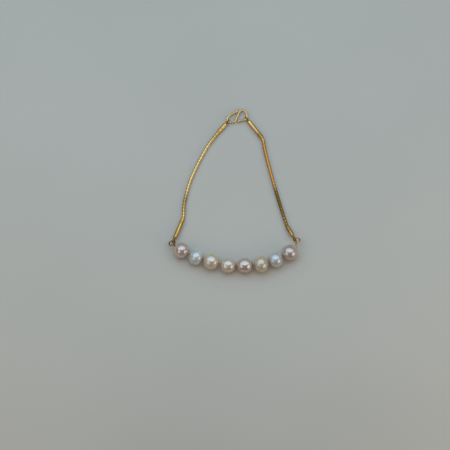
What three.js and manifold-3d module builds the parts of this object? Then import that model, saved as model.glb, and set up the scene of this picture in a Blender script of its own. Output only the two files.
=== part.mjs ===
// A pearl bracelet lying flat: a row of drilled pearls on a wire, closed by two gold snake-chain strands
// that meet in an S-shaped hook. Millimetres, +Z up. It rests on the plane z = 0.
import * as THREE from "three";
import { mergeVertices } from "three/addons/utils/BufferGeometryUtils.js";
import Module from "manifold-3d";

const wasm = await Module();
wasm.setup();

// The pearls, from the left end of the row. length is along the drilled hole and diameter across it.
// gapAfter is the bare wire to the next pearl, and headingAfter its direction there, in degrees from +X.
const PEARLS = [
  { nacre: "mauve", length: 6.5, diameter: 6.8, gapAfter: 0.6, headingAfter: -26 },
  { nacre: "white", length: 6.0, diameter: 6.6, gapAfter: 0.35, headingAfter: -16 },
  { nacre: "peach", length: 6.7, diameter: 6.9, gapAfter: 0.7, headingAfter: -13 },
  { nacre: "peach", length: 6.5, diameter: 6.3, gapAfter: 0.35, headingAfter: 0 },
  { nacre: "mauve", length: 7.0, diameter: 6.4, gapAfter: 0.4, headingAfter: 4 },
  { nacre: "cream", length: 6.2, diameter: 7.2, gapAfter: 0.3, headingAfter: 18 },
  { nacre: "white", length: 6.1, diameter: 6.7, gapAfter: 0.4, headingAfter: 27 },
  { nacre: "mauve", length: 6.5, diameter: 6.8 },
];
const FIRST_PEARL = { x: -22.9, y: -28.2 };
const BORE_RADIUS = 0.62;
const PEARL_SIDES = 16;
const PEARL_BANDS = 9;

// The wire through the pearls, turned into a small eye at each end of the row.
const WIRE_RADIUS = 0.2;
const WIRE_EYE_RADIUS = 0.7;
const WIRE_EYE_HEIGHT = 3.0;

// The row's two ends, each with the jump ring that joins the wire's eye to a strand. The wire leaves the end
// pearl at wireHeading, and its eye is eyeReach from the pearl at eyeHeading. The ring leans from the wire's
// eye down to a cap's eye: chordHeading is the direction between the two and spread their angle round the
// ring. The rest of the ring lies to the left of that direction where side is 1, and hangs down by droop.
const RING_RADIUS = 1.3;
const RING_WIRE_RADIUS = 0.25;
const RING_DROP = 1.1;
const ENDS = {
  left: {
    wireHeading: 142, eyeHeading: 108, eyeReach: 1.1,
    chordHeading: 100, spread: 100, side: 1, droop: 10,
  },
  right: {
    wireHeading: 44, eyeHeading: 88, eyeReach: 2.7,
    chordHeading: 114, spread: 115, side: -1, droop: 10,
  },
};

// Tubular end caps: a closed tube over the strand's end, with an eye on a short neck.
const CAP_RADIUS = 0.86;
const CAP_BORE_RADIUS = 0.78;
const CAP_RIM = { height: 0.08, width: 0.5, bevel: 0.12 };
const CAP_SHOULDER = { radius: 0.69, height: 0.14 };
const CAP_DOME_HEIGHT = 0.45;
const CAP_BORE_DEPTH = 2;
const CAP_NECK = { radius: 0.36, length: 0.35 };
const CAP_EYE_RADIUS = 0.85;
const CAP_EYE_WIRE_RADIUS = 0.22;
const CAP_LENGTH = { short: 4.6, long: 9 };
const CAP_MOUTH_HEIGHT = 0.97;

// The strands. Each link is a wavy band whose edge runs in a chevron over the next one.
const STRAND_RADIUS = 0.7;
const STRAND_HEIGHT = 0.74;
const GROOVE_RADIUS = 0.6;
const STRAND_SIDES = 12;
const LINK_PITCH = 0.7;
const LINK_WAVE = 0.22;
const STRAND_INSERTED = 1.7;
const STRAND_STRAIGHT = 0.7;

// How each strand lies: the headings of its two caps, from their eyes to their mouths, where its upper cap
// sits along the hook's wire from the hook's middle, and how far it bows to the left of the straight line
// between the caps, seen going down it, at shares of that line.
const STRANDS = {
  left: {
    upper: { cap: "short", heading: 229, alongHook: -5.7 },
    lower: { cap: "long", heading: 68 },
    bows: [
      { share: 0.15, bow: -1.7 },
      { share: 0.35, bow: -2.8 },
      { share: 0.6, bow: -3.2 },
      { share: 0.85, bow: -1.9 },
    ],
  },
  right: {
    upper: { cap: "long", heading: -52, alongHook: 8.1 },
    lower: { cap: "short", heading: 118 },
    bows: [
      { share: 0.15, bow: -0.4 },
      { share: 0.5, bow: -0.6 },
      { share: 0.8, bow: -0.4 },
    ],
  },
};

// The hook: the two halves of its S, from the middle to each tip, as stretches of wire with a steady bend. A
// turn to the left is positive. The left half is listed as it is when turned half a turn about the middle.
const HOOK = { x: 0.85, y: 30.6, height: 1.1 };
const HOOK_WIRE_RADIUS = 0.4;
const HOOK_TIP_RADIUS = 0.48;
const HOOK_SPINE_HEADING = 68;
const HOOK_HALVES = {
  left: [
    { of: "spine", length: 1.8, turn: 0 },
    { of: "shoulder", length: 1.2, turn: -47 },
    { of: "lower side", length: 1.7, turn: -25 },
    { of: "end bend", length: 2.4, turn: -105 },
    { of: "upper bend", length: 2.3, turn: -44 },
    { of: "upper side", length: 2.6, turn: 1 },
    { of: "tip", length: 1.0, turn: 70 },
  ],
  right: [
    { of: "spine", length: 1.5, turn: 0 },
    { of: "shoulder", length: 2.1, turn: -68 },
    { of: "upper bend", length: 1.5, turn: -59 },
    { of: "end side", length: 2.4, turn: -32 },
    { of: "end bend", length: 2.0, turn: -87 },
    { of: "lower side", length: 1.8, turn: 3 },
    { of: "tip", length: 0.9, turn: 90 },
  ],
};
const HOOK_STEPS = 56;
const TIP_FACES = { around: 10, over: 8 };

const WIRE_SIDES = 6;
const HOOK_SIDES = 8;
const LOOP_SIDES = 14;
const UP = new THREE.Vector3(0, 0, 1);

const GOLD = new THREE.MeshStandardMaterial({ color: 0xd2a24c, metalness: 1, roughness: 0.28 });
const NACRE = {
  mauve: new THREE.MeshStandardMaterial({ color: 0xc7a096, metalness: 0.15, roughness: 0.22 }),
  white: new THREE.MeshStandardMaterial({ color: 0xd9dad8, metalness: 0.1, roughness: 0.25 }),
  peach: new THREE.MeshStandardMaterial({ color: 0xd8b89c, metalness: 0.1, roughness: 0.25 }),
  cream: new THREE.MeshStandardMaterial({ color: 0xd3c0a0, metalness: 0.1, roughness: 0.25 }),
};

const radians = THREE.MathUtils.degToRad;

// A level direction at a heading in degrees from +X.
function level(heading) {
  return new THREE.Vector3(Math.cos(radians(heading)), Math.sin(radians(heading)), 0);
}

// The part of a direction that lies square to an axis, as a unit vector.
function squareTo(axis, direction) {
  return direction.clone().addScaledVector(axis, -direction.dot(axis)).normalize();
}

// A turn that takes a piece's own Y to along and its own Z to normal.
function turned(along, normal) {
  const across = new THREE.Vector3().crossVectors(along, normal);
  const basis = new THREE.Matrix4().makeBasis(across, along, normal);
  return new THREE.Quaternion().setFromRotationMatrix(basis);
}

// A closed geometry as a solid, and several such geometries joined into one.
function solidOf(geometry) {
  const bare = new THREE.BufferGeometry().setAttribute("position", geometry.getAttribute("position"));
  bare.setIndex(geometry.index);
  const merged = mergeVertices(bare);
  return new wasm.Manifold(
    new wasm.Mesh({
      numProp: 3,
      vertProperties: new Float32Array(merged.getAttribute("position").array),
      triVerts: new Uint32Array(merged.index.array),
    }),
  );
}

function joined(geometries) {
  const mesh = geometries.map(solidOf).reduce((all, one) => all.add(one)).getMesh();
  return new THREE.BufferGeometry()
    .setAttribute("position", new THREE.BufferAttribute(new Float32Array(mesh.vertProperties), 3))
    .setIndex(new THREE.BufferAttribute(new Uint32Array(mesh.triVerts), 1));
}

// A round wire along a curve.
function wireAlong(curve, radius, sides, steps) {
  const corners = Array.from({ length: sides }, (_, corner) => {
    const angle = (2 * Math.PI * corner) / sides;
    return new THREE.Vector2(radius * Math.cos(angle), radius * Math.sin(angle));
  });
  return new THREE.ExtrudeGeometry(new THREE.Shape(corners), { steps, extrudePath: curve });
}

function named(name, geometry, material) {
  const mesh = new THREE.Mesh(geometry, material);
  mesh.name = name;
  return mesh;
}

// The pearl row: each pearl's centre, with its lowest face on the plane.
function pearlCentres() {
  const centres = [new THREE.Vector3(FIRST_PEARL.x, FIRST_PEARL.y, PEARLS[0].diameter / 2)];
  PEARLS.slice(1).forEach((pearl, index) => {
    const last = PEARLS[index];
    const step = last.length / 2 + last.gapAfter + pearl.length / 2;
    const centre = centres[index].clone().addScaledVector(level(last.headingAfter), step);
    centres.push(centre.setZ(pearl.diameter / 2));
  });
  return centres;
}

const centres = pearlCentres();
const lastPearl = PEARLS.length - 1;

// The direction of a pearl's hole: level, and midway between the wire's headings on its two sides.
function boreDirection(index) {
  const before = index ? PEARLS[index - 1].headingAfter : ENDS.left.wireHeading - 180;
  const after = index < lastPearl ? PEARLS[index].headingAfter : ENDS.right.wireHeading;
  return level((before + after) / 2);
}

// Where the wire leaves the row: outward is -1 at its first pearl and 1 at its last.
function mouth(index, outward) {
  return centres[index].clone().addScaledVector(boreDirection(index), (outward * PEARLS[index].length) / 2);
}

// An end's place: its ring passes through the wire's eye at from and the cap's eye at to.
function endLayout(leaving, { eyeHeading, eyeReach, chordHeading, spread, side, droop }) {
  const half = radians(spread / 2);
  const chord = 2 * RING_RADIUS * Math.sin(half);
  const run = Math.sqrt(chord ** 2 - RING_DROP ** 2);
  const from = leaving.clone().addScaledVector(level(eyeHeading), eyeReach).setZ(WIRE_EYE_HEIGHT);
  const to = from.clone().addScaledVector(level(chordHeading), run).addScaledVector(UP, -RING_DROP);
  const along = to.clone().sub(from).normalize();
  const out = level(chordHeading + 90 * side)
    .multiplyScalar(Math.cos(radians(droop)))
    .addScaledVector(squareTo(along, UP), -Math.sin(radians(droop)));
  const centre = from.clone().lerp(to, 0.5).addScaledVector(out, RING_RADIUS * Math.cos(half));
  const normal = new THREE.Vector3().crossVectors(out, along);
  const tangentAt = (point) => normal.clone().cross(point.clone().sub(centre)).normalize();
  const stem = level(eyeHeading);
  return { leaving, from, to, centre, out, normal, tangentAt, stem };
}

const leftEnd = endLayout(mouth(0, -1), ENDS.left);
const rightEnd = endLayout(mouth(lastPearl, 1), ENDS.right);

// The wire's line through the pearls' centres, from one eye's loop to the other's.
function wireLine() {
  const stop = ({ from, stem }) => from.clone().addScaledVector(stem, -WIRE_EYE_RADIUS);
  return new THREE.CatmullRomCurve3([
    stop(leftEnd),
    leftEnd.leaving,
    ...centres,
    rightEnd.leaving,
    stop(rightEnd),
  ]);
}

// A pearl about its own Y, with its hole open at both ends. Its faces stand off the true oval just enough
// for the lowest one to touch the plane.
function pearlGeometry({ length, diameter }) {
  const mouth = Math.asin(BORE_RADIUS / (diameter / 2));
  const band = (Math.PI - 2 * mouth) / PEARL_BANDS;
  const standOff = 1 / (Math.cos(band / 2) * Math.cos(Math.PI / PEARL_SIDES));
  const profile = Array.from({ length: PEARL_BANDS + 1 }, (_, edge) => {
    const angle = mouth + edge * band;
    const inside = edge === 0 || edge === PEARL_BANDS;
    const radius = inside ? BORE_RADIUS : (diameter / 2) * Math.sin(angle) * standOff;
    return new THREE.Vector2(radius, (-length / 2) * Math.cos(angle));
  });
  profile.push(profile[0].clone());
  return new THREE.LatheGeometry(profile, PEARL_SIDES, Math.PI / PEARL_SIDES);
}

function pearlRow() {
  const row = new THREE.Group();
  PEARLS.forEach((pearl, index) => {
    const mesh = named(`pearl_${index + 1}`, pearlGeometry(pearl), NACRE[pearl.nacre]);
    mesh.position.copy(centres[index]);
    mesh.quaternion.copy(turned(boreDirection(index), UP));
    row.add(mesh);
  });
  row.add(named("pearl_wire", pearlWire(), GOLD));
  return row;
}

function pearlWire() {
  const stepsPerPearl = 5;
  const line = wireAlong(wireLine(), WIRE_RADIUS, WIRE_SIDES, stepsPerPearl * PEARLS.length);
  const eyes = [leftEnd, rightEnd].map((end) => {
    const eye = new THREE.TorusGeometry(WIRE_EYE_RADIUS, WIRE_RADIUS, WIRE_SIDES, LOOP_SIDES);
    const turn = turned(end.stem, squareTo(end.stem, end.tangentAt(end.from)));
    return eye.applyQuaternion(turn).translate(...end.from);
  });
  return joined([line, ...eyes]);
}

function jumpRing(name, end) {
  const geometry = new THREE.TorusGeometry(RING_RADIUS, RING_WIRE_RADIUS, WIRE_SIDES, LOOP_SIDES);
  const mesh = named(name, geometry, GOLD);
  mesh.position.copy(end.centre);
  mesh.quaternion.copy(turned(end.out, end.normal));
  return mesh;
}

// The point and heading on the hook's wire at a distance from its middle, below 0 in the left half.
function onHook(distance) {
  const point = new THREE.Vector3();
  let heading = HOOK_SPINE_HEADING;
  let left = Math.abs(distance);
  for (const { length, turn } of distance < 0 ? HOOK_HALVES.left : HOOK_HALVES.right) {
    const part = Math.min(left, length);
    const bend = (turn * part) / length;
    const sweep = radians(bend) / 2;
    const chord = sweep ? (part * Math.sin(sweep)) / sweep : part;
    point.addScaledVector(level(heading + bend / 2), chord);
    heading += bend;
    left -= part;
  }
  return { point: distance < 0 ? point.negate() : point, heading };
}

// The hook's wire from its left tip to its right one, with its middle at the origin.
class HookCurve extends THREE.Curve {
  getPoint(share) {
    const [left, right] = [HOOK_HALVES.left, HOOK_HALVES.right].map((half) =>
      half.reduce((sum, stretch) => sum + stretch.length, 0),
    );
    return onHook((left + right) * share - left).point;
  }
}

function hook() {
  const curve = new HookCurve();
  const tips = [0, 1].map((end) => {
    const ball = new THREE.SphereGeometry(HOOK_TIP_RADIUS, TIP_FACES.around, TIP_FACES.over);
    return ball.translate(...curve.getPoint(end));
  });
  const wire = wireAlong(curve, HOOK_WIRE_RADIUS, HOOK_SIDES, HOOK_STEPS);
  const mesh = named("s_hook", joined([wire, ...tips]), GOLD);
  mesh.position.set(HOOK.x, HOOK.y, HOOK.height);
  return mesh;
}

// Where a cap's eye sits on the hook's wire, and the wire's direction there.
function hookSeat(along) {
  const { point, heading } = onHook(along);
  return { eye: point.add(new THREE.Vector3(HOOK.x, HOOK.y, HOOK.height)), tangent: level(heading) };
}

// A cap about its own Y, with its eye at the origin and its mouth at the far end.
const CAP_TUBE_START = CAP_EYE_RADIUS + CAP_NECK.length;

function capGeometry(length) {
  const mouth = CAP_TUBE_START + length;
  const rim = CAP_RADIUS + CAP_RIM.height;
  const profile = [
    [0, CAP_EYE_RADIUS],
    [CAP_NECK.radius, CAP_EYE_RADIUS],
    [CAP_NECK.radius, CAP_TUBE_START],
    [CAP_SHOULDER.radius, CAP_TUBE_START + CAP_SHOULDER.height],
    [CAP_RADIUS, CAP_TUBE_START + CAP_DOME_HEIGHT],
    [CAP_RADIUS, mouth - CAP_RIM.width],
    [rim, mouth - CAP_RIM.width + CAP_RIM.bevel],
    [rim, mouth - CAP_RIM.bevel],
    [CAP_RADIUS, mouth],
    [CAP_BORE_RADIUS, mouth],
    [CAP_BORE_RADIUS, mouth - CAP_BORE_DEPTH],
    [0, mouth - CAP_BORE_DEPTH],
  ].map(([radius, along]) => new THREE.Vector2(radius, along));
  const tube = new THREE.LatheGeometry(profile, STRAND_SIDES);
  const eye = new THREE.TorusGeometry(CAP_EYE_RADIUS, CAP_EYE_WIRE_RADIUS, WIRE_SIDES, LOOP_SIDES);
  return joined([tube, eye]);
}

// A cap's place: from its eye, down or along to a mouth just clear of the plane.
function capLayout(eye, tangent, { cap, heading }) {
  const reach = CAP_TUBE_START + CAP_LENGTH[cap];
  const fall = (eye.z - CAP_MOUTH_HEIGHT) / reach;
  const axis = level(heading).multiplyScalar(Math.sqrt(1 - fall ** 2)).addScaledVector(UP, -fall);
  const onAxis = (distance) => eye.clone().addScaledVector(axis, distance);
  return { eye, axis, normal: squareTo(axis, tangent), length: CAP_LENGTH[cap], reach, onAxis };
}

function endCap(name, layout) {
  const mesh = named(name, capGeometry(layout.length), GOLD);
  mesh.position.copy(layout.eye);
  mesh.quaternion.copy(turned(layout.axis, layout.normal));
  return mesh;
}

// A strand's line, straight inside its caps and bowed between them.
function strandLine(upper, lower, bows) {
  const ends = [upper, lower].map(({ reach, onAxis }) =>
    [-STRAND_INSERTED, -STRAND_INSERTED / 2, 0, STRAND_STRAIGHT].map((past) => onAxis(reach + past)),
  );
  const [start, end] = [ends[0][3], ends[1][3]];
  const left = new THREE.Vector3().crossVectors(UP, end.clone().sub(start)).normalize();
  const middle = bows.map(({ share, bow }) =>
    start.clone().lerp(end, share).addScaledVector(left, bow).setZ(STRAND_HEIGHT),
  );
  return new THREE.CatmullRomCurve3([...ends[0], ...middle, ...ends[1].reverse()]);
}

// A snake strand: a tube of wavy links, each with a ridge between two grooves, and flat at both ends.
function strandGeometry(line) {
  line.arcLengthDivisions = 1000;
  const rings = 2 * Math.round(line.getLength() / LINK_PITCH);
  const vertices = [];
  const faces = [];
  for (let ring = 0; ring <= rings; ring++) {
    const centre = line.getPointAt(ring / rings);
    const along = line.getTangentAt(ring / rings);
    const side = new THREE.Vector3().crossVectors(along, UP).normalize();
    const over = new THREE.Vector3().crossVectors(side, along);
    const radius = ring % 2 ? STRAND_RADIUS : GROOVE_RADIUS;
    const wave = ring < 2 || ring > rings - 2 ? 0 : LINK_WAVE;
    for (let corner = 0; corner < STRAND_SIDES; corner++) {
      const angle = (2 * Math.PI * (corner + 0.5)) / STRAND_SIDES;
      const vertex = centre
        .clone()
        .addScaledVector(side, radius * Math.cos(angle))
        .addScaledVector(over, radius * Math.sin(angle))
        .addScaledVector(along, wave * Math.cos(2 * angle));
      vertices.push(...vertex);
    }
  }
  const at = (ring, corner) => ring * STRAND_SIDES + (corner % STRAND_SIDES);
  for (let ring = 0; ring < rings; ring++) {
    for (let corner = 0; corner < STRAND_SIDES; corner++) {
      const [a, b] = [at(ring, corner), at(ring, corner + 1)];
      const [c, d] = [at(ring + 1, corner), at(ring + 1, corner + 1)];
      faces.push(a, c, b, b, c, d);
    }
  }
  for (let corner = 1; corner < STRAND_SIDES - 1; corner++) {
    faces.push(at(0, 0), at(0, corner), at(0, corner + 1));
    faces.push(at(rings, 0), at(rings, corner + 1), at(rings, corner));
  }
  return new THREE.BufferGeometry()
    .setAttribute("position", new THREE.Float32BufferAttribute(vertices, 3))
    .setIndex(faces);
}

// One side of the bracelet: its jump ring, two caps and the strand between them.
function strandSide(name, end, { upper, lower, bows }) {
  const seat = hookSeat(upper.alongHook);
  const upperCap = capLayout(seat.eye, seat.tangent, upper);
  const lowerCap = capLayout(end.to, end.tangentAt(end.to), lower);
  return new THREE.Group().add(
    jumpRing(`${name}_jump_ring`, end),
    endCap(`${name}_upper_cap`, upperCap),
    endCap(`${name}_lower_cap`, lowerCap),
    named(`${name}_strand`, strandGeometry(strandLine(upperCap, lowerCap, bows)), GOLD),
  );
}

const bracelet = new THREE.Group().add(
  pearlRow(),
  strandSide("left", leftEnd, STRANDS.left),
  strandSide("right", rightEnd, STRANDS.right),
  hook(),
);

// The origin is under the middle of the whole loop, on the plane that it rests on.
const box = new THREE.Box3().setFromObject(bracelet, true);
const middle = box.getCenter(new THREE.Vector3());
bracelet.position.set(-middle.x, -middle.y, -box.min.z);

export default bracelet;
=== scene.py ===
"""A pearl bracelet: drilled freshwater pearls on a wire, closed by two gold snake chains and an S-hook."""

import math
from bisect import bisect_left
from collections import namedtuple

import bpy
from bpy.props import FloatProperty, FloatVectorProperty, IntProperty, PointerProperty
from bpy.types import Operator, Panel, PropertyGroup
from mathutils import Matrix, Vector, noise


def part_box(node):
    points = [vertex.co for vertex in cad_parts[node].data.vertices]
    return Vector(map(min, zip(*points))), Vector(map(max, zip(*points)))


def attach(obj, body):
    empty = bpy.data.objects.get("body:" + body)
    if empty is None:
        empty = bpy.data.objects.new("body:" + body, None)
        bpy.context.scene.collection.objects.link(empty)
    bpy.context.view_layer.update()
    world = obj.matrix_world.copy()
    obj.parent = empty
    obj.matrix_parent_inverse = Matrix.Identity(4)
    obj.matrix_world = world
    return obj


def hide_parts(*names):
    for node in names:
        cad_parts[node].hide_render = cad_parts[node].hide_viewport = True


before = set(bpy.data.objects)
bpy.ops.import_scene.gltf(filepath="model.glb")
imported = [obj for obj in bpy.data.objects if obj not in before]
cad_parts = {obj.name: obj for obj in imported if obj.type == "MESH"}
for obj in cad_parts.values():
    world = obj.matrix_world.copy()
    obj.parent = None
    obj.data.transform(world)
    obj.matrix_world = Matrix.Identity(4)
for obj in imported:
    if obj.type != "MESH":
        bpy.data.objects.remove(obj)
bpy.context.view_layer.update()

bl_info = {
    "name": "Pearl Bracelet",
    "version": (1, 0, 0),
    "blender": (4, 5, 0),
    "location": "View3D > Sidebar > Bracelet",
    "description": "Dresses the frame of a pearl bracelet in nacre and gold",
    "category": "Add Mesh",
}

UP = Vector((0, 0, 1))
BODY = "root"

# The lie of the bracelet, as in the frame: metres, and headings in degrees from +X.

# Pearls from left to right: nacre, length along the hole, diameter, gap and heading to the next pearl,
# and how light the pearl is beside others of its nacre.
Pearl = namedtuple("Pearl", "nacre length diameter gap heading shade")
PEARLS = (
    Pearl("mauve", 0.0065, 0.0068, 0.0006, -26, 1.08),
    Pearl("white", 0.0060, 0.0066, 0.00035, -16, 1.0),
    Pearl("peach", 0.0067, 0.0069, 0.0007, -13, 1.0),
    Pearl("peach", 0.0065, 0.0063, 0.00035, 0, 0.95),
    Pearl("mauve", 0.0070, 0.0064, 0.0004, 4, 1.0),
    Pearl("cream", 0.0062, 0.0072, 0.0003, 18, 0.97),
    Pearl("white", 0.0061, 0.0067, 0.0004, 27, 0.85),
    Pearl("mauve", 0.0065, 0.0068, 0, 0, 0.94),
)
FIRST_PEARL = Vector((-0.0229, -0.0282, 0.0034))

# Ends of the row: heading of the wire out of the last pearl, heading and distance to the wire's eye,
# heading across the ring to the cap's eye, degrees round the ring between the two eyes, the side of
# that line that the ring lies on, and how many degrees the ring droops.
RowEnd = namedtuple("RowEnd", "wire eye reach chord spread side droop")
ROW_ENDS = {
    "left": RowEnd(wire=142, eye=108, reach=0.0011, chord=100, spread=100, side=1, droop=10),
    "right": RowEnd(wire=44, eye=88, reach=0.0027, chord=114, spread=115, side=-1, droop=10),
}
EYE_HEIGHT = 0.003
RING_RADIUS = 0.0013
RING_DROP = 0.0011

CAP_EYE_RADIUS = 0.00085
CAP_NECK_LENGTH = 0.00035
CAP_TUBE_START = CAP_EYE_RADIUS + CAP_NECK_LENGTH
CAP_LENGTH = {"short": 0.0046, "long": 0.009}
CAP_MOUTH_HEIGHT = 0.00097

# Strands from the hook down to the row: the caps, the upper cap's seat on the hook's wire from its
# middle, and bows to the left of a straight line at shares of the way.
STRANDS = {
    "left": dict(
        upper=dict(cap="short", heading=229),
        lower=dict(cap="long", heading=68),
        seat=-0.0057,
        bows=((0.15, -0.0017), (0.35, -0.0028), (0.6, -0.0032), (0.85, -0.0019)),
    ),
    "right": dict(
        upper=dict(cap="long", heading=-52),
        lower=dict(cap="short", heading=118),
        seat=0.0081,
        bows=((0.15, -0.0004), (0.5, -0.0006), (0.8, -0.0004)),
    ),
}
STRAND_HEIGHT = 0.00074
STRAND_INSERTED = 0.0017
STRAND_STRAIGHT = 0.0007

HOOK = Vector((0.00085, 0.0306, 0.0011))
HOOK_SPINE_HEADING = 68
# Stretches of the hook's wire from its middle outward: length, and turn in degrees.
HOOK_HALVES = {
    "left": (
        (0.0018, 0),
        (0.0012, -47),
        (0.0017, -25),
        (0.0024, -105),
        (0.0023, -44),
        (0.0026, 1),
        (0.0010, 70),
    ),
    "right": (
        (0.0015, 0),
        (0.0021, -68),
        (0.0015, -59),
        (0.0024, -32),
        (0.0020, -87),
        (0.0018, 3),
        (0.0009, 90),
    ),
}

# How far the gold is made paler, redder or darker, from 0 to 1. The darker mark is real tarnish in places
# and painted shade in others; the paler and redder marks on the chains are painted highlight and painted
# reflection.
MARKS = ("pale", "red", "tarnish")
# The wire is darkened as tarnish, and as painted shade where it shows between the pearls.
WIRE_TARNISH_AND_SHADE = 0.55
# The rings are darkened by tarnish, and the left ring, which lies in shadow, much more by painted shade.
RING_TARNISH_AND_SHADE = {"left": 0.8, "right": 0.3}
HOOK_PALE = 0.7
HOOK_TARNISH = 0.25
# The caps' eyes are painted dark: painted shade where they link to the hook and the rings, with some
# tarnish.
EYE_SHADE_AND_TARNISH = 0.85
EYE_SHADE_END = CAP_TUBE_START + 0.0008
# A cap's painted shade next to its eye and at its mouth, matched to how the light falls along each cap.
CAP_SHADE = {
    ("left", "upper"): (0.15, 0.25),
    ("left", "lower"): (0.6, 0.35),
    ("right", "upper"): (0.1, 0.6),
    ("right", "lower"): (0.5, 0.7),
}
# A chain's marks, which are painted light: on the left chain a painted highlight (pale) and a darkening
# towards the row, on the right chain a painted orange reflection (red) and then painted shade. Each has a
# strength, then where it starts, is full, fades and ends, as shares of the way from the hook to the row,
# and the share of it that fades.
Tone = namedtuple("Tone", "strength start full fade end faded")
CHAIN_TONES = {
    ("left", "pale"): Tone(1, 0.08, 0.24, 0.64, 0.76, 1),
    ("left", "tarnish"): Tone(0.24, 0.68, 0.78, 0.84, 0.94, 1),
    ("right", "red"): Tone(1, 0.02, 0.12, 0.46, 0.6, 1),
    ("right", "tarnish"): Tone(0.84, 0.48, 0.64, 0.74, 0.88, 0.33),
}
GROOVE_TARNISH = 0.6
LINK_TARNISH = 0.15
# Every second link is painted darker, standing in for the light and shade of the links' facets, and less so
# where the chain has its painted highlight or painted reflection.
SECOND_LINK_SHADE = 0.45
SECOND_LINK_BRIGHTENED = 0.2


# Settings


def size(name, description, default):
    """A length in metres."""
    return FloatProperty(
        name=name, description=description, default=default, min=0, unit="LENGTH", precision=5
    )


def share(name, description, default):
    """A part of a whole, from 0 to 1."""
    return FloatProperty(
        name=name, description=description, default=default, min=0, max=1, subtype="FACTOR"
    )


def colour(name, description, default):
    """A colour in linear light."""
    return FloatVectorProperty(
        name=name, description=description, default=default, min=0, max=1, size=3, subtype="COLOR"
    )


def count(name, description, default):
    """How many faces a shape has one way."""
    return IntProperty(name=name, description=description, default=default, min=3)


def lustre(name, description, default):
    """An index of refraction, which sets how much of the light a layer of nacre throws back."""
    return FloatProperty(name=name, description=description, default=default, min=1, max=4)


class PearlSettings(PropertyGroup):
    """Sizes and colours of the pearls."""

    bore: size("Bore radius", "Radius of the hole through each pearl", 0.00062)
    lip: size("Lip", "Rounding where the hole meets the skin", 0.00009)
    unevenness: share("Unevenness", "How far the skin strays from a true oval, of its radius", 0.022)
    dimple: size("Dimple depth", "Depth of the shallow dimples in the skin", 0.00005)
    sides: count("Sides", "Faces round each pearl", 72)
    bands: count("Bands", "Faces from one mouth of the hole to the other", 48)
    mauve: colour("Mauve", "Body colour of the mauve pearls", (0.51, 0.335, 0.24))
    white: colour("White", "Body colour of the white pearls", (0.60, 0.605, 0.595))
    peach: colour("Peach", "Body colour of the peach pearls", (0.66, 0.50, 0.325))
    cream: colour("Cream", "Body colour of the cream pearl", (0.595, 0.475, 0.305))
    mauve_glow: colour("Mauve overtone", "Overtone of the mauve pearls", (0.50, 0.365, 0.315))
    white_glow: colour("White overtone", "Overtone of the white pearls", (0.58, 0.61, 0.64))
    peach_glow: colour("Peach overtone", "Overtone of the peach pearls", (0.65, 0.52, 0.41))
    cream_glow: colour("Cream overtone", "Overtone of the cream pearl", (0.62, 0.52, 0.37))
    mauve_lustre: lustre("Mauve lustre", "How strongly the mauve pearls mirror", 3.1)
    white_lustre: lustre("White lustre", "How strongly the white pearls mirror", 2.5)
    peach_lustre: lustre("Peach lustre", "How strongly the peach pearls mirror", 2.7)
    cream_lustre: lustre("Cream lustre", "How strongly the cream pearl mirrors", 2.3)
    sheen: lustre("Sheen", "How strongly nacre gleams under its lustre", 2.0)


class GoldSettings(PropertyGroup):
    """Colours of the gold."""

    bright: colour("Gold", "Colour of the polished gold", (0.92, 0.545, 0.165))
    # Pale gold is the left chain's painted highlight and the hook's paler colour.
    pale: colour("Pale gold", "Colour of the brightest links", (1.0, 0.64, 0.24))
    deep: colour("Deep gold", "Colour of worn gold", (0.70, 0.395, 0.09))
    # Red gold is the right chain's painted orange reflection.
    red: colour("Red gold", "Colour of the chain where it is redder", (0.74, 0.31, 0.064))
    # The tarnish colour is both real tarnish and painted shade, on eyes, rings, caps, the wire and the
    # chains.
    tarnish: colour("Tarnish", "Colour of tarnish in grooves and eyes", (0.20, 0.088, 0.008))


class WireSettings(PropertyGroup):
    """Sizes of the wire through the pearls and of the rings at its ends."""

    radius: size("Wire radius", "Radius of the wire through the pearls", 0.0002)
    eye: size("Eye radius", "Radius of the eye at each end of the wire", 0.0007)
    ring_wire: size("Ring wire radius", "Radius of the jump rings' wire", 0.00025)
    seam: size("Ring seam", "Slit where a jump ring closes", 0.00004)


class ChainSettings(PropertyGroup):
    """Sizes of the snake chains and their caps."""

    ridge: size("Ridge radius", "Radius over the links", 0.0007)
    groove: size("Groove radius", "Radius between the links", 0.00061)
    pitch: size("Link pitch", "Distance from link to link", 0.0007)
    wave: size("Link wave", "How far a link's edge waves along the chain", 0.00022)
    lean: share("Link lean", "How far a link leans, as a slope", 0.09)
    step: share("Link step", "How much narrower every second link is", 0.05)
    cap: size("Cap radius", "Radius of a cap's tube", 0.00086)
    cap_bore: size("Cap bore radius", "Radius of the hole in a cap's mouth", 0.00078)
    cap_neck: size("Neck radius", "Radius of a cap's neck", 0.00036)
    cap_eye_wire: size("Eye wire radius", "Radius of the wire of a cap's eye", 0.00022)


class HookSettings(PropertyGroup):
    """Sizes of the S-hook."""

    wire: size("Hook wire radius", "Radius of the hook's wire", 0.0004)
    tip: size("Tip radius", "Radius of the ball at each tip", 0.00048)


class StageSettings(PropertyGroup):
    """Floor, light and camera."""

    floor: colour("Floor", "Colour of the floor", (0.605, 0.51, 0.405))
    ambient: share("Ambient", "Strength of the light from all round", 0.08)
    elevation: FloatProperty(
        name="Camera elevation",
        description="Angle of the camera above the floor",
        default=math.radians(78),
        subtype="ANGLE",
    )
    distance: size("Camera distance", "Distance from the camera to its aim", 6)
    width: size("Picture width", "Width of the picture at the camera's aim", 0.1911)


class BraceletSettings(PropertyGroup):
    """All that can be changed on the bracelet."""

    pearls: PointerProperty(type=PearlSettings)
    gold: PointerProperty(type=GoldSettings)
    wire: PointerProperty(type=WireSettings)
    chain: PointerProperty(type=ChainSettings)
    hook: PointerProperty(type=HookSettings)
    stage: PointerProperty(type=StageSettings)


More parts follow.
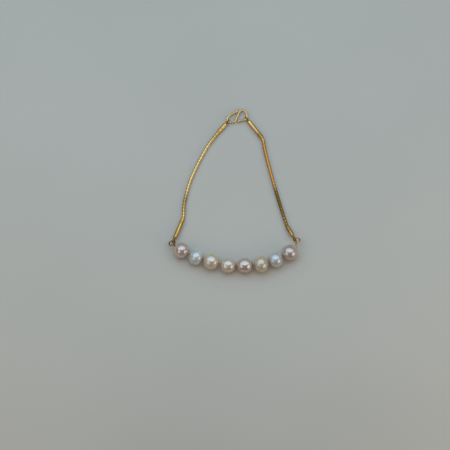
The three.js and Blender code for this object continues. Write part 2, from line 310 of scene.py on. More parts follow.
def settings():
    """What the user has chosen for this scene's bracelet."""
    return bpy.context.scene.pearl_bracelet


# Layout


def level(heading):
    """A level direction at a heading in degrees from +X."""
    return Vector((math.cos(math.radians(heading)), math.sin(math.radians(heading)), 0))


def square_to(axis, direction):
    """The part of a direction that lies square to an axis, as a unit vector."""
    return (direction - axis * direction.dot(axis)).normalized()


def placed(at, along, normal):
    """The place of a piece whose own Y points along and whose own Z is the normal."""
    turn = Matrix((along.cross(normal), along, normal)).transposed().to_4x4()
    return Matrix.Translation(at) @ turn


def eased(value, low, high):
    """A smooth step from 0 at low to 1 at high."""
    part = min(1, max(0, (value - low) / (high - low)))
    return part * part * (3 - 2 * part)


def middle_of(node):
    """The middle of a CAD node's box."""
    low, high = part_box(node)
    return (low + high) / 2


ROW_SHIFT = middle_of("pearl_1") - FIRST_PEARL


def pearl_centres():
    """The pearls' centres, one after the other along the wire, each pearl resting on the floor."""
    centres = [FIRST_PEARL + ROW_SHIFT]
    for last, pearl in zip(PEARLS, PEARLS[1:]):
        step = last.length / 2 + last.gap + pearl.length / 2
        centre = centres[-1] + level(last.heading) * step
        centre.z = pearl.diameter / 2
        centres.append(centre)
    return centres


def bore_direction(index):
    """The direction of a pearl's hole, midway between the wire's headings on its two sides."""
    before = PEARLS[index - 1].heading if index else ROW_ENDS["left"].wire - 180
    after = PEARLS[index].heading if index < len(PEARLS) - 1 else ROW_ENDS["right"].wire
    return level((before + after) / 2)


class WireEnd:
    """One end of the pearl row: its ring passes through the wire's eye and a cap's eye."""

    def __init__(self, side):
        end = ROW_ENDS[side]
        index, outward = (0, -1) if side == "left" else (len(PEARLS) - 1, 1)
        half_length = PEARLS[index].length / 2
        self.mouth = pearl_centres()[index] + bore_direction(index) * outward * half_length
        self.stem = level(end.eye)
        self.wire_eye = self.mouth + self.stem * end.reach
        self.wire_eye.z = EYE_HEIGHT
        half = math.radians(end.spread / 2)
        chord = 2 * RING_RADIUS * math.sin(half)
        run = math.sqrt(chord**2 - RING_DROP**2)
        self.cap_eye = self.wire_eye + level(end.chord) * run - UP * RING_DROP
        along = (self.cap_eye - self.wire_eye).normalized()
        droop = math.radians(end.droop)
        sideways = level(end.chord + 90 * end.side)
        self.out = sideways * math.cos(droop) - square_to(along, UP) * math.sin(droop)
        middle = (self.wire_eye + self.cap_eye) / 2
        self.centre = middle + self.out * RING_RADIUS * math.cos(half)
        self.normal = self.out.cross(along)

    def tangent_at(self, point):
        return self.normal.cross(point - self.centre).normalized()


def on_hook(distance):
    """The point and heading on the hook's wire at a distance from its middle, below 0 in the left half."""
    point = Vector((0, 0, 0))
    heading = HOOK_SPINE_HEADING
    left = abs(distance)
    for length, turn in HOOK_HALVES["left" if distance < 0 else "right"]:
        part = min(left, length)
        bend = turn * part / length
        sweep = math.radians(bend) / 2
        chord = part * math.sin(sweep) / sweep if sweep else part
        point += level(heading + bend / 2) * chord
        heading += bend
        left -= part
    return HOOK + ROW_SHIFT + (-point if distance < 0 else point), heading


class CapPlace:
    """A cap's place: from its eye to a mouth just clear of the floor."""

    def __init__(self, eye, tangent, cap, heading):
        self.eye = eye
        self.reach = CAP_TUBE_START + CAP_LENGTH[cap]
        fall = (eye.z - CAP_MOUTH_HEIGHT) / self.reach
        self.axis = level(heading) * math.sqrt(1 - fall**2) - UP * fall
        self.normal = square_to(self.axis, tangent)

    def on_axis(self, distance):
        return self.eye + self.axis * distance


def cap_places(side):
    """The upper and the lower cap of one side."""
    strand = STRANDS[side]
    seat, heading = on_hook(strand["seat"])
    end = WireEnd(side)
    upper = CapPlace(seat, level(heading), **strand["upper"])
    lower = CapPlace(end.cap_eye, end.tangent_at(end.cap_eye), **strand["lower"])
    return upper, lower


def strand_points(side):
    """What a snake chain's line passes through: straight in its caps and bowed between them."""
    inside = (-STRAND_INSERTED, -STRAND_INSERTED / 2, 0, STRAND_STRAIGHT)
    upper, lower = (
        [cap.on_axis(cap.reach + past) for past in inside] for cap in cap_places(side)
    )
    start, end = upper[-1], lower[-1]
    leftward = UP.cross(end - start).normalized()
    middle = []
    for along, bow in STRANDS[side]["bows"]:
        point = start.lerp(end, along) + leftward * bow
        point.z = STRAND_HEIGHT
        middle.append(point)
    return upper + middle + lower[::-1]


def smooth_line(points, steps):
    """A close polyline on the smooth curve through the points, with so many steps from each to the next."""
    ends = [points[0] * 2 - points[1], *points, points[-1] * 2 - points[-2]]
    line = []
    for before, start, end, after in zip(ends, ends[1:], ends[2:], ends[3:]):
        d0, d1, d2 = ((b - a).length ** 0.5 for a, b in ((before, start), (start, end), (end, after)))
        leave = (start - before) / d0 - (end - before) / (d0 + d1) + (end - start) / d1
        reach = (end - start) / d1 - (after - start) / (d1 + d2) + (after - end) / d2
        leave, reach = leave * d1, reach * d1
        for step in range(steps):
            t = step / steps
            line.append(
                start
                + leave * t
                + (end * 3 - start * 3 - leave * 2 - reach) * t**2
                + (start * 2 - end * 2 + leave + reach) * t**3
            )
    return line + [points[-1].copy()]


class Route:
    """A polyline that gives its point and direction at a distance along it."""

    LOOK_AHEAD = 0.0001

    def __init__(self, line):
        self.line = line
        self.distances = [0.0]
        for start, end in zip(line, line[1:]):
            self.distances.append(self.distances[-1] + (end - start).length)
        self.length = self.distances[-1]

    def at(self, distance):
        after = min(bisect_left(self.distances, distance, 1), len(self.line) - 1)
        before = after - 1
        span = self.distances[after] - self.distances[before]
        return self.line[before].lerp(self.line[after], (distance - self.distances[before]) / span)

    def direction(self, distance):
        ahead = self.at(min(distance + self.LOOK_AHEAD, self.length))
        return (ahead - self.at(max(distance - self.LOOK_AHEAD, 0))).normalized()


# Meshes

EYE_STEPS = 48
EYE_SIDES = 16
STRAY_LIMIT = 0.0004


def piece_from(name, vertices, faces, material):
    """A new smooth piece, linked to the scene."""
    mesh = bpy.data.meshes.new(name)
    mesh.from_pydata(vertices, [], faces)
    if mesh.validate():
        raise RuntimeError(f"{name}: its mesh has broken faces")
    mesh.shade_smooth()
    mesh.materials.append(material)
    piece = bpy.data.objects.new(name, mesh)
    bpy.context.scene.collection.objects.link(piece)
    return piece


def angles_round(sides):
    """The angles of the corners of a ring."""
    return [2 * math.pi * corner / sides for corner in range(sides)]


def skin(rings, loop=False):
    """Vertices and faces of a skin over rings that each have as many points, closed at its ends."""
    sides = len(rings[0])
    vertices = [point for ring in rings for point in ring]
    faces = []
    spans = len(rings) if loop else len(rings) - 1
    for ring in range(spans):
        here, there = ring * sides, (ring + 1) % len(rings) * sides
        for corner in range(sides):
            after = (corner + 1) % sides
            faces.append((here + corner, here + after, there + after, there + corner))
    if not loop:
        last = len(vertices) - sides
        faces.append(tuple(range(sides))[::-1])
        faces.append(tuple(range(last, last + sides)))
    return vertices, faces


def lathed(profile, sides):
    """A closed profile of radius and distance along, turned about own Y. A radius of 0 closes an end."""
    vertices, faces, rows = [], [], []
    for radius, along in profile:
        if radius == 0:
            rows.append([len(vertices)] * sides)
            vertices.append(Vector((0, along, 0)))
            continue
        rows.append(list(range(len(vertices), len(vertices) + sides)))
        for angle in angles_round(sides):
            vertices.append(Vector((radius * math.sin(angle), along, radius * math.cos(angle))))
    ends_on_axis = profile[0][0] == 0
    pairs = zip(rows, rows[1:]) if ends_on_axis else zip(rows, rows[1:] + rows[:1])
    for here, there in pairs:
        for corner in range(sides):
            after = (corner + 1) % sides
            face = (here[corner], here[after], there[after], there[corner])
            faces.append(tuple(dict.fromkeys(face)))
    return vertices, faces


def tube(line, radii, sides, loop=False):
    """A round tube along a line of points, with a radius at each."""
    rings = []
    normal = None
    for index, (point, radius) in enumerate(zip(line, radii)):
        if loop:
            ahead, behind = line[(index + 1) % len(line)], line[index - 1]
        else:
            ahead, behind = line[min(index + 1, len(line) - 1)], line[max(index - 1, 0)]
        along = (ahead - behind).normalized()
        normal = square_to(along, along.orthogonal() if normal is None else normal)
        across = along.cross(normal)
        rings.append(
            [
                point + normal * radius * math.cos(angle) + across * radius * math.sin(angle)
                for angle in angles_round(sides)
            ]
        )
    return skin(rings, loop)


def circle(radius, steps, opening=0.0):
    """Points round own Z from own Y, leaving out an opening of that angle."""
    turn = 2 * math.pi - opening
    spans = steps - 1 if opening else steps
    angles = [opening / 2 + turn * step / spans for step in range(steps)]
    return [Vector((-radius * math.sin(angle), radius * math.cos(angle), 0)) for angle in angles]


def eye_ring(radius, wire):
    """A closed eye of wire round own Z."""
    return tube(circle(radius, EYE_STEPS), [wire] * EYE_STEPS, EYE_SIDES, loop=True)


def moved(shape, place):
    """A shape brought from its own place to another."""
    vertices, faces = shape
    return [place @ vertex for vertex in vertices], faces


def united(name, shapes, material):
    """One closed piece from closed shapes that run into each other."""
    piece, *others = [piece_from(name, *shape, material) for shape in shapes]
    for other in others:
        union = piece.modifiers.new("union", "BOOLEAN")
        union.operation = "UNION"
        union.solver = "EXACT"
        union.object = other
    bpy.context.view_layer.update()
    whole = bpy.data.meshes.new_from_object(piece.evaluated_get(bpy.context.evaluated_depsgraph_get()))
    piece.modifiers.clear()
    piece.data = whole
    whole.name = name
    for other in others:
        bpy.data.objects.remove(other)
    return piece


def marked(piece, **marks):
    """Keeps marks from 0 to 1 on a piece for its material: one for the whole piece or one a vertex."""
    for name, values in marks.items():
        if not isinstance(values, list):
            values = [values] * len(piece.data.vertices)
        piece.data.attributes.new(name, "FLOAT", "POINT").data.foreach_set("value", values)


def settled(piece, node):
    """Puts a finished piece in the place of its node, and stops if it isn't where the node is."""
    bpy.context.view_layer.update()
    corners = [piece.matrix_world @ vertex.co for vertex in piece.data.vertices]
    low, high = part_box(node)
    for axis in range(3):
        values = [corner[axis] for corner in corners]
        stray = max(abs(min(values) - low[axis]), abs(max(values) - high[axis]))
        if stray > STRAY_LIMIT:
            raise RuntimeError(f"{piece.name} is {stray:.5f} m away from {node}")
    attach(piece, BODY)
    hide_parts(node)


# Materials

# The colour sockets of Blender's Mix node, which share their names with its other sockets.
MIX_COLOURS = (6, 7)
MIX_RESULT = 2
# Where a pearl warms towards its hole, as shares of its length from its middle, and by how much.
HOLE_WARMTH_SPAN = (0.3, 0.5)
HOLE_WARMTH = 0.55
HOLE_TINT = (0.95, 0.8, 0.7)
# How far nacre's clouds move from one pearl to the next.
CLOUD_SHIFT = (0.7, 0, 0.3)
FLOOR_CLOUD_SHADE = 0.96


def new_material(name):
    """A material with an empty tree of shader nodes."""
    material = bpy.data.materials.new(name)
    material.use_nodes = True
    material.node_tree.nodes.clear()
    return material, material.node_tree


def added(tree, kind, values=None, **choices):
    """A new shader node. A value that is another node's output is linked, and any other is set."""
    made = tree.nodes.new(kind)
    for name, value in choices.items():
        setattr(made, name, value)
    for name, value in (values or {}).items():
        if isinstance(value, bpy.types.NodeSocket):
            tree.links.new(value, made.inputs[name])
        else:
            made.inputs[name].default_value = value
    return made


def surfaced(tree, values):
    """Ends a material in one shader with these values."""
    shader = added(tree, "ShaderNodeBsdfPrincipled", values)
    added(tree, "ShaderNodeOutputMaterial", {"Surface": shader.outputs["BSDF"]})


def own_place(tree):
    """Where a point lies in its piece."""
    return added(tree, "ShaderNodeTexCoord").outputs["Object"]


def clouds(tree, at, scale, detail, roughness):
    """Soft noise from 0 to 1, finer with a greater scale."""
    values = {"Vector": at, "Scale": scale, "Detail": detail, "Roughness": roughness}
    return added(tree, "ShaderNodeTexNoise", values).outputs["Fac"]


def mapped(tree, value, span, onto=(0, 1)):
    """A value that goes smoothly over one span, brought onto another."""
    names = ("From Min", "From Max", "To Min", "To Max")
    values = {"Value": value, **dict(zip(names, (*span, *onto)))}
    return added(tree, "ShaderNodeMapRange", values, interpolation_type="SMOOTHSTEP").outputs["Result"]


def mixed(tree, factor, first, second):
    """A colour from the first at a factor of 0 to the second at 1."""
    made = added(tree, "ShaderNodeMix", data_type="RGBA")
    tree.links.new(factor, made.inputs["Factor"])
    for index, value in zip(MIX_COLOURS, (first, second)):
        if isinstance(value, bpy.types.NodeSocket):
            tree.links.new(value, made.inputs[index])
        else:
            made.inputs[index].default_value = (*value, 1)
    return made.outputs[MIX_RESULT]


def nacre(number, pearl):
    """Nacre: a body colour that turns to its overtone in soft clouds and warms towards the hole."""
    own = settings().pearls
    body, glow = (
        [value * pearl.shade for value in getattr(own, pearl.nacre + part)] for part in ("", "_glow")
    )
    material, tree = new_material(f"nacre_{number}")
    place = own_place(tree)
    shift = [number * part for part in CLOUD_SHIFT]
    at = added(tree, "ShaderNodeMapping", {"Vector": place, "Location": shift}).outputs["Vector"]
    cloud = mapped(tree, clouds(tree, at, scale=260, detail=3, roughness=0.5), span=(0.35, 0.65))
    along = added(tree, "ShaderNodeSeparateXYZ", {"Vector": place}).outputs["Y"]
    far = added(tree, "ShaderNodeMath", {0: along}, operation="ABSOLUTE").outputs[0]
    hole_span = [pearl.length * part for part in HOLE_WARMTH_SPAN]
    near_hole = mapped(tree, far, hole_span, onto=(0, HOLE_WARMTH))
    warm = [value * tint for value, tint in zip(body, HOLE_TINT)]
    base = mixed(tree, near_hole, mixed(tree, cloud, body, glow), warm)
    grain = clouds(tree, at, scale=1400, detail=4, roughness=0.6)
    relief = added(tree, "ShaderNodeBump", {"Height": grain, "Strength": 0.05, "Distance": 0.00004})
    surfaced(
        tree,
        {
            "Base Color": base,
            "Roughness": mapped(tree, grain, span=(0.3, 0.7), onto=(0.28, 0.38)),
            "Normal": relief.outputs["Normal"],
            "IOR": own.sheen,
            "Coat Weight": 0.9,
            "Coat Roughness": 0.1,
            "Coat IOR": getattr(own, pearl.nacre + "_lustre"),
            "Coat Tint": (1.0, 0.88, 0.74, 1),
            "Subsurface Weight": 0.3,
            "Subsurface Scale": 0.0015,
            "Subsurface Radius": (1.0, 0.5, 0.35),
            "Sheen Weight": 0.1,
            "Sheen Roughness": 0.4,
            "Sheen Tint": (1.0, 0.85, 0.78, 1),
        },
    )
    return material


def gold():
    """Polished gold with soft wear, paler, redder or darker where a piece is marked so: tarnish, and
    painted highlight, painted reflection and painted shade.
    """
    if "polished_gold" in bpy.data.materials:
        return bpy.data.materials["polished_gold"]
    own = settings().gold
    material, tree = new_material("polished_gold")
    wear = clouds(tree, own_place(tree), scale=420, detail=4, roughness=0.6)
    base = mixed(tree, mapped(tree, wear, span=(0.4, 0.7)), own.bright, own.deep)
    for mark in MARKS:
        strength = added(tree, "ShaderNodeAttribute", attribute_name=mark).outputs["Fac"]
        base = mixed(tree, strength, base, getattr(own, mark))
    surfaced(
        tree,
        {
            "Base Color": base,
            "Roughness": mapped(tree, wear, span=(0.3, 0.7), onto=(0.13, 0.24)),
            "Metallic": 1.0,
            "Specular Tint": (1.0, 0.92, 0.7, 1),
        },
    )
    return material


def pale_floor(tone):
    """A matt floor, in places a touch darker than its tone."""
    material, tree = new_material("pale_floor")
    cloud = mapped(tree, clouds(tree, own_place(tree), scale=9, detail=2, roughness=0.5), span=(0.3, 0.7))
    base = mixed(tree, cloud, [value * FLOOR_CLOUD_SHADE for value in tone], tone)
    surfaced(tree, {"Base Color": base, "Roughness": 0.9})
    return material


# Pearls

PEARL_SEED = 11
LIP_BEVEL = 0.29
HOLE_RINGS = (0.5, 0, -0.5)
DIMPLES = 3
DIMPLE_RADIUS = 0.0009
DIMPLE_SPREAD = 0.0004
# Bands next to a hole over which the skin goes from a true oval to uneven.
TRUE_BANDS = 6
# Swells of the skin: how many there are across it, and how high beside the unevenness.
SWELLS = ((1.3, 1), (3.7, 0.3))
SWELL_DRIFT = (7.3, 3.1, 5.7)


def pearl_profile(own, pearl):
    """A pearl's skin from mouth to mouth of its hole, a rounded lip, the hole's wall and the other lip."""
    radius = pearl.diameter / 2
    start = math.asin((own.bore + own.lip) / radius)
    profile = []
    for band in range(own.bands + 1):
        angle = start + (math.pi - 2 * start) * band / own.bands
        profile.append((radius * math.sin(angle), -pearl.length / 2 * math.cos(angle)))
    rim = profile[-1][1]
    bevel = own.lip * LIP_BEVEL
    lip = [(own.bore + bevel, rim - bevel), (own.bore, rim - own.lip)]
    wall = [(own.bore, rim * part) for part in HOLE_RINGS]
    return profile + lip + wall + [(lip_radius, -along) for lip_radius, along in lip[::-1]]


def pearl_skin(number, pearl):
    """A drilled pearl about its own Y, softly uneven and dimpled away from its hole."""
    own = settings().pearls
    radius = pearl.diameter / 2
    vertices, faces = lathed(pearl_profile(own, pearl), own.sides)
    drift = Vector([number * part for part in SWELL_DRIFT])
    dimples = [
        (noise.random_unit_vector(), DIMPLE_RADIUS + DIMPLE_SPREAD * noise.random())
        for _ in range(DIMPLES)
    ]
    for index, vertex in enumerate(vertices[: (own.bands + 1) * own.sides]):
        band = index // own.sides
        out = vertex.normalized()
        rise = 0
        for fineness, height in SWELLS:
            rise += own.unevenness * height * radius * noise.noise(out * fineness + drift)
        for toward, reach in dimples:
            away = (out * radius - toward * radius).length
            rise -= own.dimple * eased(1 - away / reach, 0, 1)
        free = eased(min(band, own.bands - band), 0, TRUE_BANDS)
        vertices[index] = vertex + out * rise * free
    return vertices, faces


class BRACELET_OT_pearls(Operator):
    """Makes the drilled pearls"""

    bl_idname = "bracelet.pearls"
    bl_label = "Pearls"

    def execute(self, context):
        noise.seed_set(PEARL_SEED)
        for index, (pearl, centre) in enumerate(zip(PEARLS, pearl_centres())):
            number = index + 1
            shape = pearl_skin(number, pearl)
            piece = piece_from(f"drilled_pearl_{number}", *shape, nacre(number, pearl))
            piece.matrix_world = placed(centre, bore_direction(index), UP)
            settled(piece, f"pearl_{number}")
        return {"FINISHED"}


# Wire and rings

WIRE_STEPS = 12
WIRE_SIDES = 14
RING_STEPS = 73
RING_SIDES = 18
RING_SHARP_ANGLE = math.radians(50)


class BRACELET_OT_wire(Operator):
    """Makes the wire through the pearls, with an eye at each end"""

    bl_idname = "bracelet.wire"
    bl_label = "Pearl wire"

    def execute(self, context):
        own = settings().wire
        ends = [WireEnd("left"), WireEnd("right")]
        stops = [end.wire_eye - end.stem * own.eye for end in ends]
        points = [stops[0], ends[0].mouth, *pearl_centres(), ends[1].mouth, stops[1]]
        line = smooth_line(points, WIRE_STEPS)
        shapes = [tube(line, [own.radius] * len(line), WIRE_SIDES)]
        for end in ends:
            across = square_to(end.stem, end.tangent_at(end.wire_eye))
            shapes.append(moved(eye_ring(own.eye, own.radius), placed(end.wire_eye, end.stem, across)))
        wire = united("beading_wire", shapes, gold())
        # Tarnish and painted shade on the wire.
        marked(wire, tarnish=WIRE_TARNISH_AND_SHADE)
        settled(wire, "pearl_wire")
        return {"FINISHED"}


class BRACELET_OT_rings(Operator):
    """Makes the jump ring at each end of the wire, with the slit where it closes"""

    bl_idname = "bracelet.rings"
    bl_label = "Jump rings"

    def execute(self, context):
        own = settings().wire
        for side in ROW_ENDS:
            end = WireEnd(side)
            line = circle(RING_RADIUS, RING_STEPS, own.seam / RING_RADIUS)
            shape = tube(line, [own.ring_wire] * RING_STEPS, RING_SIDES)
            ring = piece_from(f"{side}_link_ring", *shape, gold())
            ring.data.set_sharp_from_angle(angle=RING_SHARP_ANGLE)
            # Tarnish, and on the left ring painted shade.
            marked(ring, tarnish=RING_TARNISH_AND_SHADE[side])
            ring.matrix_world = placed(end.centre, end.out, end.normal)
            settled(ring, f"{side}_jump_ring")
        return {"FINISHED"}


# Caps

CAP_SIDES = 40
CAP_SHARP_ANGLE = math.radians(38)
CAP_DOME_HEIGHT = 0.00045
CAP_DOME_STEPS = 7
CAP_BORE_DEPTH = 0.002
NECK_FLARE = 1.15
NECK_FLARE_LENGTH = 0.0001
GROOVES_FROM_MOUTH = (0.0019, 0.0015, 0.0011)
# A groove's section: distance from its middle, and depth.
GROOVE = ((-0.00009, 0), (-0.00006, 0.00003), (0, 0.00007), (0.00006, 0.00003), (0.00009, 0))
# The rim's section: distance back from the mouth, and height over the tube.
RIM = (
    (0.0005, 0),
    (0.00044, 0.00005),
    (0.00035, 0.00008),
    (0.0001, 0.00008),
    (0.00003, 0.00005),
    (0, 0),
)


def cap_profile(length):
    """A cap from its neck over its dome and tube to its rim, and back down the hole in its mouth."""
    own = settings().chain
    mouth = CAP_TUBE_START + length
    foot = own.cap_neck * NECK_FLARE
    profile = [
        (0, CAP_EYE_RADIUS),
        (own.cap_neck, CAP_EYE_RADIUS),
        (own.cap_neck, CAP_TUBE_START - NECK_FLARE_LENGTH),
        (foot, CAP_TUBE_START),
    ]
    for step in range(1, CAP_DOME_STEPS + 1):
        angle = math.radians(90 * step / CAP_DOME_STEPS)
        radius = foot + (own.cap - foot) * math.sin(angle)
        profile.append((radius, CAP_TUBE_START + CAP_DOME_HEIGHT * (1 - math.cos(angle))))
    for back in GROOVES_FROM_MOUTH:
        profile += [(own.cap - depth, mouth - back + along) for along, depth in GROOVE]
    profile += [(own.cap + height, mouth - back) for back, height in RIM]
    bottom = mouth - CAP_BORE_DEPTH
    return profile + [(own.cap_bore, mouth), (own.cap_bore, bottom), (0, bottom)]


def cap_shade_and_tarnish(side, where, along, length):
    """Painted shade at a distance from a cap's eye: dark on the eye, with some tarnish there, and then
    eased from there to the mouth.
    """
    near_eye, at_mouth = CAP_SHADE[side, where]
    tube_share = eased(along, CAP_TUBE_START, CAP_TUBE_START + length)
    on_eye = EYE_SHADE_AND_TARNISH * (1 - eased(along, CAP_EYE_RADIUS / 2, EYE_SHADE_END))
    return max(near_eye + (at_mouth - near_eye) * tube_share, on_eye)


class BRACELET_OT_caps(Operator):
    """Makes the tubular caps at the ends of the snake chains, each with its eye"""

    bl_idname = "bracelet.caps"
    bl_label = "End caps"

    def execute(self, context):
        own = settings().chain
        for side, strand in STRANDS.items():
            for where, place in zip(("upper", "lower"), cap_places(side)):
                length = CAP_LENGTH[strand[where]["cap"]]
                shapes = [
                    lathed(cap_profile(length), CAP_SIDES),
                    eye_ring(CAP_EYE_RADIUS, own.cap_eye_wire),
                ]
                cap = united(f"{side}_{where}_end_cap", shapes, gold())
                cap.data.shade_smooth()
                cap.data.set_sharp_from_angle(angle=CAP_SHARP_ANGLE)
                alongs = [vertex.co.y for vertex in cap.data.vertices]
                # The cap's vertices carry painted shade, darkest on its eye.
                marked(cap, tarnish=[cap_shade_and_tarnish(side, where, along, length) for along in alongs])
                cap.matrix_world = placed(place.eye, place.axis, place.normal)
                settled(cap, f"{side}_{where}_cap")
        return {"FINISHED"}


# Chains

CHAIN_SEED = 5
CHAIN_SIDES = 32
CHAIN_STEPS = 40
# Places of a link's rings, as shares of its pitch from the groove before it.
LINK_STATIONS = (0, 0.05, 0.12, 0.22, 0.36, 0.5, 0.64, 0.78, 0.88, 0.95)
# How round a link's back is: 1 for a round one, and nearer 0 for a flat one with steep edges.
LINK_ROUNDNESS = 0.3


def chain_tone(side, mark, along):
    """How strong a mark is at a share of a chain's way from the hook to the row."""
    if (side, mark) not in CHAIN_TONES:
        return 0
    tone = CHAIN_TONES[side, mark]
    fade = 1 - tone.faded * eased(along, tone.fade, tone.end)
    return tone.strength * eased(along, tone.start, tone.full) * fade


def link_ring(route, distance, radius, wave, lean):
    """A ring of a link: its edge waves along the chain, and it leans by slopes across and upward."""
    centre, along = route.at(distance), route.direction(distance)
    across = along.cross(UP).normalized()
    over = across.cross(along)
    ring = []
    for angle in angles_round(CHAIN_SIDES):
        out = across * math.cos(angle) + over * math.sin(angle)
        tip = lean[0] * math.cos(angle) + lean[1] * math.sin(angle)
        ring.append(centre + out * (radius + tip) + along * wave * math.cos(2 * angle))
    return ring


def snake_chain(side):
    """A chain's rings, link by link, and the marks of its vertices."""
    own = settings().chain
    route = Route(smooth_line(strand_points(side), CHAIN_STEPS))
    links = round(route.length / own.pitch)
    pitch = route.length / links
    rings, marks = [], {mark: [] for mark in MARKS}
    for link in range(links):
        slopes = [own.lean * (2 * noise.random() - 1) for _ in range(2)]
        dull = LINK_TARNISH * noise.random()
        second = link % 2
        ridge = own.ridge * (1 - own.step * second)
        wave = own.wave if 0 < link < links - 1 else 0
        end = (1,) if link == links - 1 else ()
        for station in LINK_STATIONS + end:
            distance = min((link + station) * pitch, route.length)
            rise = math.sin(math.pi * station) ** LINK_ROUNDNESS if 0 < station < 1 else 0
            radius = own.groove + (ridge - own.groove) * rise
            past_middle = (station - 0.5) * pitch * rise
            lean = [past_middle * slope for slope in slopes]
            rings.append(link_ring(route, distance, radius, wave, lean))
            # Tones along the way: painted highlight, painted reflection and painted shade, as in the
            # chain's table.
            tones = {mark: chain_tone(side, mark, distance / route.length) for mark in MARKS}
            bright = max(tones["pale"], tones["red"])
            # Every second link gets painted shade, standing in for the dark between the links' glints.
            tick = second * (SECOND_LINK_SHADE - SECOND_LINK_BRIGHTENED * bright)
            # worn holds random wear and the painted shade of every second link, and tarnish in the grooves.
            worn = max((dull + tick) * rise, GROOVE_TARNISH * (1 - rise))
            tones["tarnish"] = min(1, worn + tones["tarnish"])
            for mark in MARKS:
                marks[mark] += [tones[mark]] * CHAIN_SIDES
    return rings, marks


class BRACELET_OT_chains(Operator):
    """Makes the two snake chains, link by link"""

    bl_idname = "bracelet.chains"
    bl_label = "Snake chains"

    def execute(self, context):
        noise.seed_set(CHAIN_SEED)
        for side in STRANDS:
            rings, marks = snake_chain(side)
            chain = piece_from(f"{side}_snake_chain", *skin(rings), gold())
            marked(chain, **marks)
            settled(chain, f"{side}_strand")
        return {"FINISHED"}


# Hook

HOOK_STEPS = 240
HOOK_SIDES = 20
TIP_ANGLES = tuple(math.radians(angle) for angle in range(12, 90, 12))


def rounded_tip(tip, inner, radius):
    """Points and radii that close the tip of a wire with a half ball."""
    outward = (tip - inner).normalized()
    points = [tip + outward * radius * math.sin(angle) for angle in TIP_ANGLES]
    return points, [radius * math.cos(angle) for angle in TIP_ANGLES]


def hook_shape(own):
    """The hook's wire from tip to tip, swelling into a ball at each."""
    left, right = (sum(length for length, _ in HOOK_HALVES[side]) for side in ("left", "right"))
    line, radii = [], []
    for step in range(HOOK_STEPS + 1):
        distance = -left + (left + right) * step / HOOK_STEPS
        from_tip = min(distance + left, right - distance)
        ball = math.sqrt(max(0, own.tip**2 - from_tip**2))
        line.append(on_hook(distance)[0])
        radii.append(max(own.wire, ball))
    first, first_radii = rounded_tip(line[0], line[1], own.tip)
    last, last_radii = rounded_tip(line[-1], line[-2], own.tip)
    line = first[::-1] + line + last
    radii = first_radii[::-1] + radii + last_radii
    return tube(line, radii, HOOK_SIDES)


class BRACELET_OT_hook(Operator):
    """Makes the S-hook that joins the two chains"""

    bl_idname = "bracelet.hook"
    bl_label = "S-hook"

    def execute(self, context):
        hook = piece_from("clasp_hook", *hook_shape(settings().hook), gold())
        marked(hook, pale=HOOK_PALE, tarnish=HOOK_TARNISH)
        settled(hook, "s_hook")
        return {"FINISHED"}


# Stage

AIM = Vector((-0.00446, -0.0165, 0))
PICTURE_RIGHT = Vector((1, 0, 0))
FLOOR_HALF_WIDTH = 1.5
CAMERA_SIGHT = 20
AMBIENT_TINT = (1.0, 0.80, 0.60, 1)
COOL = (0.51, 0.75, 1.0)
WARM = (1.0, 0.95, 0.88)
LIGHT_DISTANCE = 0.28
# Softboxes: degrees off the camera's axis, heading in the picture, width, height, radiance and tint.
Softbox = namedtuple("Softbox", "name off_axis toward wide high radiance tint")
SOFTBOXES = (
    Softbox("sky", 36, 92, 0.95, 0.44, 1.25, COOL),
    Softbox("near_sky", 26, 92, 0.6, 0.18, 0.8, COOL),
    Softbox("left_window", 50, 205, 0.22, 0.16, 1.15, WARM),
    Softbox("right_window", 62, -22, 0.22, 0.16, 1.7, WARM),
)


def wide_floor(tone):
    """A square floor under the bracelet."""
    half = FLOOR_HALF_WIDTH
    corners = [(-half, -half, 0), (half, -half, 0), (half, half, 0), (-half, half, 0)]
    return piece_from("floor", corners, [(0, 1, 2, 3)], pale_floor(tone))


def softbox_light(box, aim, axis, upward):
    """A soft oval light, off the camera's axis by an angle, toward a heading in the picture."""
    toward, angle = math.radians(box.toward), math.radians(box.off_axis)
    lean = PICTURE_RIGHT * math.cos(toward) + upward * math.sin(toward)
    direction = axis * math.cos(angle) + lean * math.sin(angle)
    light = bpy.data.lights.new(box.name, "AREA")
    light.shape = "ELLIPSE"
    light.size, light.size_y = box.wide, box.high
    light.energy = box.radiance * math.pi * (math.pi / 4 * box.wide * box.high)
    light.color = box.tint
    lamp = bpy.data.objects.new(box.name, light)
    lamp.location = aim + direction * LIGHT_DISTANCE
    lamp.rotation_euler = direction.to_track_quat("Z", "Y").to_euler()
    lamp.visible_camera = False
    bpy.context.scene.collection.objects.link(lamp)


def studio(ambient):
    """The light from all round."""
    world = bpy.data.worlds.new("studio")
    world.use_nodes = True
    background = world.node_tree.nodes["Background"]
    background.inputs["Color"].default_value = AMBIENT_TINT
    background.inputs["Strength"].default_value = ambient
    return world


def camera_on(aim, axis, distance, width):
    """A camera on an axis from its aim, whose picture is so wide there."""
    camera = bpy.data.objects.new("camera", bpy.data.cameras.new("camera"))
    camera.data.lens = camera.data.sensor_width * distance / width
    camera.data.clip_end = CAMERA_SIGHT
    camera.location = aim + axis * distance
    camera.rotation_euler = axis.to_track_quat("Z", "Y").to_euler()
    bpy.context.scene.collection.objects.link(camera)
    return camera


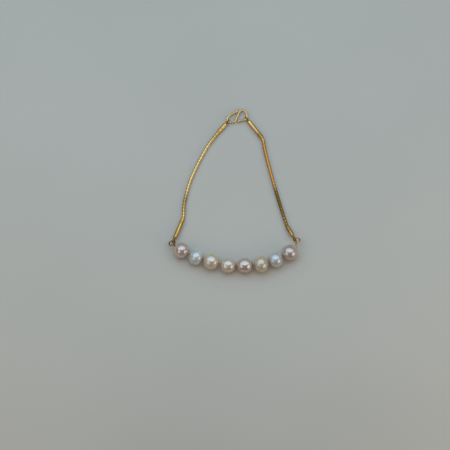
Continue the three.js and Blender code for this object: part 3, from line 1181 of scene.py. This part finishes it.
class BRACELET_OT_stage(Operator):
    """Makes the floor, the soft studio light and the camera"""

    bl_idname = "bracelet.stage"
    bl_label = "Stage"

    def execute(self, context):
        own = settings().stage
        aim = AIM + ROW_SHIFT
        axis = Vector((0, -math.cos(own.elevation), math.sin(own.elevation)))
        upward = Vector((0, math.sin(own.elevation), math.cos(own.elevation)))
        floor = wide_floor(own.floor)
        for box in SOFTBOXES:
            softbox_light(box, aim, axis, upward)
        scene = context.scene
        scene.world = studio(own.ambient)
        scene.view_settings.view_transform = "Standard"
        scene.camera = camera_on(aim, axis, own.distance, own.width)
        return {"FINISHED"}


# Panel


class BRACELET_PT_panel(Panel):
    """Lists the pieces of the bracelet"""

    bl_idname = "BRACELET_PT_panel"
    bl_label = "Pearl Bracelet"
    bl_space_type = "VIEW_3D"
    bl_region_type = "UI"
    bl_category = "Bracelet"

    def draw(self, context):
        for operator in OPERATORS:
            self.layout.operator(operator.bl_idname)
        for group in BraceletSettings.__annotations__:
            own = getattr(settings(), group)
            box = self.layout.box()
            box.label(text=group.capitalize())
            for name in own.__annotations__:
                box.prop(own, name)


GROUPS = (
    PearlSettings,
    GoldSettings,
    WireSettings,
    ChainSettings,
    HookSettings,
    StageSettings,
    BraceletSettings,
)
OPERATORS = (
    BRACELET_OT_stage,
    BRACELET_OT_pearls,
    BRACELET_OT_wire,
    BRACELET_OT_rings,
    BRACELET_OT_caps,
    BRACELET_OT_chains,
    BRACELET_OT_hook,
)
CLASSES = (*GROUPS, *OPERATORS, BRACELET_PT_panel)


def register():
    for one in CLASSES:
        bpy.utils.register_class(one)
    bpy.types.Scene.pearl_bracelet = PointerProperty(type=BraceletSettings)


def unregister():
    del bpy.types.Scene.pearl_bracelet
    for one in reversed(CLASSES):
        bpy.utils.unregister_class(one)


def main():
    register()
    bpy.ops.bracelet.stage()
    bpy.ops.bracelet.pearls()
    bpy.ops.bracelet.wire()
    bpy.ops.bracelet.rings()
    bpy.ops.bracelet.caps()
    bpy.ops.bracelet.chains()
    bpy.ops.bracelet.hook()
    bpy.context.view_layer.update()


if __name__ == "__main__":
    main()
